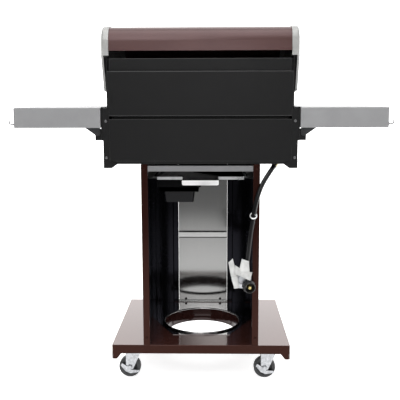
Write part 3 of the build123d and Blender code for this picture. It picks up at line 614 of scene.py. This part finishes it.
def add_fork(name):
    """A pressed fork with a rolled ball race, a peened king pin and an axle nut."""
    softened(f"{name}_fork", "zinc", 0.0014)
    low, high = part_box(f"{name}_fork")
    swivel = Vector(joint(f"{name}_swivel")["pos_m"])
    race_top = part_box("caster_mounts")[0].z - 0.0004
    race = [(0.0205, 0), (0.0236, 0.0001), (0.0252, 0.0011), (0.0257, 0.0022), (0.0250, 0.0034),
            (0.0232, 0.0042), (0.0205, 0.0042)]
    turned(f"{name}_race", f"{name}_caster", "zinc",
           [(Vector((swivel.x, swivel.y, race_top - 0.0043)), Z, race)], steps=48)
    pin_base = Vector((swivel.x, swivel.y, high.z - 0.0181))
    turned(f"{name}_king_pin", f"{name}_caster", "screw",
           [(pin_base, -Z, [(0, -0.0002), (0.0085, -0.0002), (0.0082, 0.0012), (0.0055, 0.0026),
                            (0, 0.0031)])], steps=32)
    hub = middle(f"{name}_wheel")
    nut = [(0, 0), (0.0068, 0), (0.0072, 0.0008), (0.0068, 0.0035), (0.0045, 0.0042), (0, 0.0042)]
    seat = Vector((hub.x, low.y + 0.0001, hub.z))
    turned(f"{name}_axle_nut", f"{name}_caster", "screw",
           [(seat, -Y, [(r, h - 0.0042) for r, h in nut])], steps=6)


def add_casters():
    for end in ("front", "rear"):
        for hand in SIDES:
            name = f"{end}_{hand}"
            add_wheel(name)
            add_fork(name)
            if end == "rear":
                softened(f"{name}_brake_lever", "zinc", 0.001)


# --- Fasteners ------------------------------------------------------------------------------------
def islands(node):
    """The box of each separate solid of a CAD node, as (lowest, highest) corners."""
    bm = bmesh.new()
    bm.from_mesh(frame["nodes"][node].data)
    bmesh.ops.remove_doubles(bm, verts=bm.verts, dist=1e-6)
    found, seen = [], set()
    for start in bm.verts:
        if start in seen:
            continue
        group, waiting = [], [start]
        seen.add(start)
        while waiting:
            vert = waiting.pop()
            group.append(vert.co.copy())
            for edge in vert.link_edges:
                other = edge.other_vert(vert)
                if other not in seen:
                    seen.add(other)
                    waiting.append(other)
        found.append((Vector(min(co[i] for co in group) for i in range(3)),
                      Vector(max(co[i] for co in group) for i in range(3))))
    bm.free()
    return sorted(found, key=lambda corners: tuple(corners[0]))


def cut_mesh(bm, cutter):
    """The mesh of bm with the cutter taken out of it."""
    solids = []
    for part, label in ((bm, "blank"), (cutter, "cutter")):
        bmesh.ops.remove_doubles(part, verts=part.verts, dist=1e-7)
        loose = [edge for edge in part.edges if not edge.link_faces]
        bmesh.ops.delete(part, geom=loose, context="EDGES")
        bmesh.ops.recalc_face_normals(part, faces=part.faces)
        mesh = bpy.data.meshes.new(label)
        part.to_mesh(mesh)
        part.free()
        solids.append(bpy.data.objects.new(label, mesh))
        bpy.context.scene.collection.objects.link(solids[-1])
    carve = solids[0].modifiers.new("carve", "BOOLEAN")
    carve.operation, carve.solver, carve.object = "DIFFERENCE", "EXACT", solids[1]
    bpy.context.view_layer.update()
    shown = solids[0].evaluated_get(bpy.context.evaluated_depsgraph_get())
    carved = bpy.data.meshes.new_from_object(shown)
    for solid in solids:
        bpy.data.objects.remove(solid)
    return carved


def screw_head(radius, height):
    """A pan head with a cross recess, on the XY plane and pointing along +Z."""
    bm, cross = bmesh.new(), bmesh.new()
    lathe(bm, (0, 0, 0), Z, [(0, 0), (radius, 0), (radius, height * 0.25), (radius * 0.88, height * 0.7),
                             (radius * 0.5, height), (0, height)], 28)
    arm, wide, floor = radius * 0.55, radius * 0.11, height * 0.4
    slab(cross, [(arm, -wide, floor), (arm, wide, floor), (wide, wide, floor), (wide, arm, floor),
                 (-wide, arm, floor), (-wide, wide, floor), (-arm, wide, floor), (-arm, -wide, floor),
                 (-wide, -wide, floor), (-wide, -arm, floor), (wide, -arm, floor), (wide, -wide, floor)],
         Z * height)
    return cut_mesh(bm, cross)


def add_screws():
    """Pan heads where the CAD screws are, facing backwards: grey, brown or black by their place."""
    groups = {"hook_wire": bmesh.new(), "espresso": bmesh.new(), "black": bmesh.new()}
    for low, high in islands("body_screws"):
        head = screw_head((high.x - low.x) / 2, high.y - low.y)
        place = Vector(((low.x + high.x) / 2, low.y, (low.z + high.z) / 2))
        head.transform(Matrix.Translation(place) @ Matrix.Rotation(radians(-90), 4, "X"))
        sheet = "hook_wire" if abs(place.x) > 0.25 else "espresso"
        groups[sheet if place.y > 0 else "black"].from_mesh(head)
        bpy.data.meshes.remove(head)
    for count, (finish, heads) in enumerate(groups.items()):
        place_piece(f"{finish}_screws", finish_mesh(heads, f"{finish}_screws", [finish]), "cart",
                    [] if count else ["body_screws"])


# --- Knobs and thermometer --------------------------------------------------------------------------
def add_knob(place):
    """A black scalloped knob on a chrome skirt, with a raised bar and a white pointer."""
    node, body = f"{place}_knob", f"{place}_control"
    low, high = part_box(node)
    back = Vector(((low.x + high.x) / 2, high.y, (low.z + high.z) / 2))
    turned(f"{place}_knob_skirt", body, "chrome",
           [(back, -Y, [(0.0041, 0), (0.0255, 0), (0.026, 0.0006), (0.0258, 0.0022), (0.0235, 0.0042),
                        (0.0041, 0.0042)])], [node], 72)
    bm = bmesh.new()
    grip = [(0.0041, 0.0042), (0.0222, 0.0042), (0.0218, 0.006, 1), (0.0208, 0.0165, 1),
            (0.0195, 0.0195, 1), (0.0165, 0.0212), (0.0041, 0.0212)]
    lathe(bm, back, -Y, grip, 96, flutes=16, swell=0.018)
    bar = [(-0.0048, -0.019), (-0.0030, -0.0198), (0.0030, -0.0198), (0.0048, -0.019),
           (0.0048, 0.019), (0.0030, 0.0198), (-0.0030, 0.0198), (-0.0048, 0.019)]
    slab(bm, [back + Vector((x, -0.0170, z)) for x, z in bar], (0, -0.0072, 0))
    place_piece(f"{place}_knob_grip", finish_mesh(bm, f"{place}_knob_grip", ["grip"]), body)
    bm = bmesh.new()
    brick(bm, back + Vector((-0.0009, -0.0249, 0.006)), back + Vector((0.0009, -0.0240, 0.0185)))
    place_piece(f"{place}_pointer", finish_mesh(bm, f"{place}_pointer", ["dial"], False), body)


def add_dial_marks():
    """Plain marks round each knob: off at the top, then a widening sweep of flame size."""
    face_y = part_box("control_panel")[0].y
    bm = bmesh.new()
    for place in ("left", "middle", "right"):
        centre = middle(f"{place}_knob")
        for mark in range(10):
            angle = radians(90 + 15 * mark)
            outward = Vector((cos(angle), 0, sin(angle)))
            aside = Vector((-sin(angle), 0, cos(angle))) * (0.0006 + 0.00012 * mark)
            start = Vector((centre.x, face_y, centre.z)) + outward * 0.0345
            slab(bm, [start - aside, start + outward * 0.005 - aside, start + outward * 0.005 + aside,
                      start + aside], (0, -0.0003, 0))
    place_piece("dial_marks", finish_mesh(bm, "dial_marks", ["nylon"], False), "cart")


GAUGE_WAY = Vector((0, -sin(radians(50)), cos(radians(50))))  # out of the lid, square to the dial


def dial_way(degrees):
    """The directions out from a dial's middle and across that, at an angle from its right side."""
    up = -GAUGE_WAY.cross(X).normalized()
    angle = radians(degrees)
    return X * cos(angle) + up * sin(angle), X * -sin(angle) + up * cos(angle)


def add_gauge_marks(face):
    """Plain ticks round the dial, every fourth one longer, and a needle near the cold end."""
    bm = bmesh.new()
    for tick in range(25):
        along, aside = dial_way(225 - 270 * tick / 24)
        long_tick = tick % 4 == 0
        aside *= 0.00045 if long_tick else 0.0002
        inner, outer = (0.0172 if long_tick else 0.0190), 0.0212
        slab(bm, [face + along * inner - aside, face + along * outer - aside,
                  face + along * outer + aside, face + along * inner + aside], GAUGE_WAY * 0.00015)
    place_piece("gauge_ticks", finish_mesh(bm, "gauge_ticks", ["nylon"], False), "lid")
    bm = bmesh.new()
    along, aside = dial_way(215)
    tail, tip = face - along * 0.005, face + along * 0.0185
    slab(bm, [tail - aside * 0.0009, tip, tail + aside * 0.0009], GAUGE_WAY * 0.0007)
    place_piece("gauge_needle", finish_mesh(bm, "gauge_needle", ["red"], False), "lid")


def add_thermometer():
    """A round gauge with a plain dial, a needle and a domed glass."""
    corners = [Vector(vert.co) for vert in frame["nodes"]["thermometer"].data.vertices]
    reach = max(GAUGE_WAY.dot(corner) for corner in corners)
    rim = [corner for corner in corners if GAUGE_WAY.dot(corner) > reach - 0.0001]
    back = sum(rim, Vector()) / len(rim) - GAUGE_WAY * 0.0105
    turned("gauge_case", "lid", "chrome",
           [(back, GAUGE_WAY, [(0, 0), (0.0272, 0), (0.028, 0.0008), (0.0279, 0.0078), (0.0268, 0.0098),
                               (0.0250, 0.0104), (0.0236, 0.0098), (0.0232, 0.0072), (0, 0.0072)])],
           ["thermometer"], 72)
    turned("gauge_probe", "lid", "chrome",
           [(back - GAUGE_WAY * 0.0395, GAUGE_WAY,
             [(0, 0), (0.0022, 0), (0.0028, 0.0008), (0.0028, 0.034), (0.0046, 0.0345),
              (0.0046, 0.0394), (0, 0.0394)])])
    turned("gauge_dial", "lid", "dial",
           [(back + GAUGE_WAY * 0.00722, GAUGE_WAY,
             [(0, 0), (0.0231, 0), (0.0231, 0.0003), (0, 0.0003)])], steps=64)
    face = back + GAUGE_WAY * 0.00753
    add_gauge_marks(face)
    turned("gauge_hub", "lid", "brass",
           [(face, GAUGE_WAY, [(0, 0), (0.0022, 0), (0.0018, 0.0012), (0, 0.0015)])], steps=24)
    turned("gauge_glass", "lid", "glass",
           [(back + GAUGE_WAY * 0.0093, GAUGE_WAY,
             [(0, 0.0005), (0.012, 0.0003), (0.0234, -0.0003), (0.0234, 0.0001), (0.012, 0.0008),
              (0, 0.0010)])], steps=64)


# --- Gas hose, regulator and hand nut ---------------------------------------------------------------
HOSE_ROUTE = [
    (-0.240, 0.258, 0.738), (-0.218, 0.280, 0.710), (-0.198, 0.298, 0.680), (-0.184, 0.307, 0.645),
    (-0.175, 0.310, 0.606), (-0.1695, 0.3105, 0.568), (-0.1635, 0.310, 0.532),
    (-0.159, 0.3105, 0.494), (-0.1555, 0.310, 0.456), (-0.1505, 0.3095, 0.418),
]
HOSE_RADIUS = 0.0075
HUB_Y, HUB_Z, HUB_RADIUS = 0.304, 0.371, 0.032  # the regulator's middle, and its flange
NUT_START, NUT_WAY = Vector((-0.155, 0.316, 0.352)), Vector((-0.22, 0.95, -0.1)).normalized()


def hose_end(first, second):
    """A point of the hose's route, and the way out of the hose there from its neighbour."""
    place = Vector(HOSE_ROUTE[first])
    return place, place - Vector(HOSE_ROUTE[second])


def add_ferrules():
    """A crimped sleeve at each end of the hose, with three pressed rings."""
    pieces = []
    for label, ends in (("upper", (0, 1)), ("lower", (-1, -2))):
        start, along = hose_end(*ends)
        profile = [(0.0072, -0.0012), (0.0092, -0.0010)]
        for ring in range(3):
            low = 0.003 + 0.0065 * ring
            profile += [(0.0098, low), (0.0090, low + 0.0012), (0.0090, low + 0.0030),
                        (0.0098, low + 0.0042)]
        profile += [(0.0096, 0.0228), (0.0088, 0.0238), (0.0072, 0.0238)]
        pieces.append(turned(f"{label}_ferrule", "cart", "zinc", [(start, along, profile)]))
    return pieces


def add_regulator():
    """A die-cast two-part regulator with a bolted flange, a vent boss and ribs."""
    hub = Vector((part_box("regulator")[1].x - HUB_RADIUS, HUB_Y, HUB_Z))
    body = [(0, -0.0148), (0.019, -0.0148), (0.0225, -0.0135), (0.0262, -0.009), (0.027, -0.0034),
            (0.0314, -0.0030), (0.032, -0.0024), (0.032, -0.0003), (0.0312, 0.0001), (0.0312, 0.0004),
            (0.032, 0.0008), (0.032, 0.0024), (0.0314, 0.0029), (0.0262, 0.0032), (0.0250, 0.0075),
            (0.0215, 0.0098), (0.0135, 0.0104), (0.0130, 0.0090), (0.0118, 0.0088), (0.0112, 0.0107),
            (0, 0.0109)]
    shell = turned("regulator_body", "cart", "die_cast", [(hub, Y, body)], ["regulator"], 72)
    bm = bmesh.new()
    for bolt in range(6):
        angle = 2 * pi * bolt / 6 + 0.3
        seat = hub + Vector((cos(angle), 0, sin(angle))) * 0.0289 + Y * 0.0028
        lathe(bm, seat, Y, [(0, 0), (0.0026, 0), (0.0026, 0.0012), (0.0018, 0.0019), (0, 0.0021)], 20)
    for rib in range(12):
        turn = Matrix.Rotation(2 * pi * rib / 12, 3, "Y")
        outline = [(0.0150, 0.0090, -0.0006), (0.0258, 0.0030, -0.0006), (0.0264, 0.0034, -0.0006),
                   (0.0252, 0.0084, -0.0006), (0.0216, 0.0106, -0.0006), (0.0150, 0.0110, -0.0006)]
        slab(bm, [hub + turn @ Vector(point) for point in outline], turn @ Vector((0, 0, 0.0012)))
    trim = place_piece("regulator_trim", finish_mesh(bm, "regulator_trim", ["screw"]), "cart")
    hose_foot, along = hose_end(-1, -2)
    inlet_end = hose_foot + along.normalized() * 0.022
    boss = turned("regulator_outlet", "cart", "die_cast",
                  [(inlet_end, hub + Vector((-0.006, 0, 0.012)) - inlet_end,
                    [(0, -0.001), (0.0092, -0.001), (0.0098, 0.0005), (0.0098, 0.012), (0.0085, 0.026),
                     (0, 0.026)])], steps=6)
    return [shell, trim, boss]


def add_hand_nut():
    """A black grip nut with a threaded mouth round a brass nipple."""
    bm = bmesh.new()
    threads = []
    for thread in range(5):
        low = 0.0062 + 0.0038 * thread
        threads += [(0.0155, low), (0.0163, low + 0.0019)]
    profile = [(0.0091, 0), (0.0185, 0), (0.0198, 0.0012, 1), (0.0206, 0.0030, 1), (0.0206, 0.0140, 1),
               (0.0198, 0.0158, 1), (0.0186, 0.0166), (0.0182, 0.0250), (0.0174, 0.0259),
               (0.0160, 0.0260), *threads[::-1], (0.0155, 0.0042), (0.0091, 0.0042)]
    lathe(bm, NUT_START, NUT_WAY, profile, 96, flutes=10, swell=0.045)
    grip = place_piece("hand_nut", finish_mesh(bm, "hand_nut", ["nylon"]), "cart",
                       ["tank_nut"])
    nipple = [(0.0022, -0.0060), (0.0080, -0.0060), (0.0080, 0.0035), (0.0060, 0.0040), (0.0060, 0.0150),
              (0.0066, 0.0158), (0.0066, 0.0175), (0.0060, 0.0182), (0.0056, 0.0222), (0.0042, 0.0240),
              (0.0022, 0.0240)]
    stem = turned("gas_nipple", "cart", "brass", [(NUT_START, NUT_WAY, nipple)], steps=48)
    elbow = turned("nut_elbow", "cart", "die_cast",
                   [(NUT_START - NUT_WAY * 0.006, -NUT_WAY,
                     [(0, -0.001), (0.0086, -0.001), (0.0092, 0.0002), (0.0092, 0.0085),
                      (0.0075, 0.010), (0, 0.010)])])
    return [grip, stem, elbow]


def curled_tag(name, corners, curl, outward):
    """A paper tag: a four-cornered sheet with a gentle curl and a thickness of its own."""
    steps = 12
    bm = bmesh.new()
    grid = []
    for column in range(steps + 1):
        across = column / steps
        low, high = corners[0].lerp(corners[1], across), corners[3].lerp(corners[2], across)
        line = []
        for row in range(steps + 1):
            up = row / steps
            bulge = outward * curl * (sin(pi * across) * 0.6 + sin(pi * up))
            line.append(bm.verts.new(low.lerp(high, up) + bulge))
        grid.append(line)
    for near, far in zip(grid, grid[1:]):
        for row in range(steps):
            bm.faces.new((near[row], far[row], far[row + 1], near[row + 1]))
    tag = place_piece(name, finish_mesh(bm, name, ["paper"]), "cart")
    thick = tag.modifiers.new("paper_thickness", "SOLIDIFY")
    thick.thickness, thick.offset = 0.0003, 0.0
    return tag


def add_tags():
    """Blank paper tags tied round the lower end of the hose."""
    tags = []
    sheets = (
        ("long_tag_top", [(-0.091, 0.318, 0.429), (-0.105, 0.316, 0.442), (-0.120, 0.320, 0.386),
                          (-0.099, 0.322, 0.384)], 0.0030),
        ("long_tag_foot", [(-0.0995, 0.322, 0.386), (-0.120, 0.320, 0.388), (-0.1265, 0.324, 0.346),
                           (-0.110, 0.325, 0.343)], 0.0020),
        ("wide_tag", [(-0.113, 0.322, 0.421), (-0.140, 0.326, 0.404), (-0.136, 0.331, 0.386),
                      (-0.112, 0.327, 0.392)], 0.0020),
        ("upper_tag", [(-0.134, 0.325, 0.443), (-0.157, 0.327, 0.436), (-0.160, 0.331, 0.392),
                       (-0.124, 0.329, 0.401)], 0.0022),
        ("lower_tag", [(-0.131, 0.330, 0.404), (-0.168, 0.331, 0.400), (-0.161, 0.336, 0.373),
                       (-0.128, 0.335, 0.389)], 0.0016),
    )
    for name, corners, curl in sheets:
        tags.append(curled_tag(name, [Vector(corner) for corner in corners], curl, Y))
    return tags


def add_wire_clip():
    """A bright wire wound round the hose, tilted forwards, with a short loose end."""
    centre = Vector((-0.1715, 0.3103, 0.580))
    tilt = Matrix.Rotation(radians(8), 3, "Y") @ Matrix.Rotation(radians(-48), 3, "X")
    radius, pitch, steps = 0.0112, 0.0022, 12
    turns = []
    for step in range(31):
        angle = 2 * pi * step / steps
        spoke = Vector((radius * cos(angle), radius * sin(angle), pitch * step / steps))
        turns.append(centre + tilt @ spoke)
    turns += [turns[-1] + Vector((0.004, 0.001, -0.003)), turns[-1] + Vector((0.007, 0.002, 0.001))]
    return tube_along("wire_clip", turns, 0.0011, "cart", "pull_zinc")


def add_hose():
    """The hose hangs from its fitting; the regulator, nut, tags and clip hang on it."""
    hose = tube_along("hose", HOSE_ROUTE, HOSE_RADIUS, "cart", "hose")
    hose.data.bevel_resolution, hose.data.resolution_u = 8, 16
    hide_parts("gas_hose")
    hung = [add_wire_clip(), *add_ferrules(), *add_regulator(), *add_hand_nut(), *add_tags()]


add_camera()
add_hose()
add_studio()
add_cart()
add_slot_shade_sheet()
add_body()
add_lid()
add_shelves()
add_tray()
add_casters()
add_screws()
for knob_place in ("left", "middle", "right"):
    add_knob(knob_place)
add_dial_marks()
add_thermometer()

bpy.context.view_layer.update()
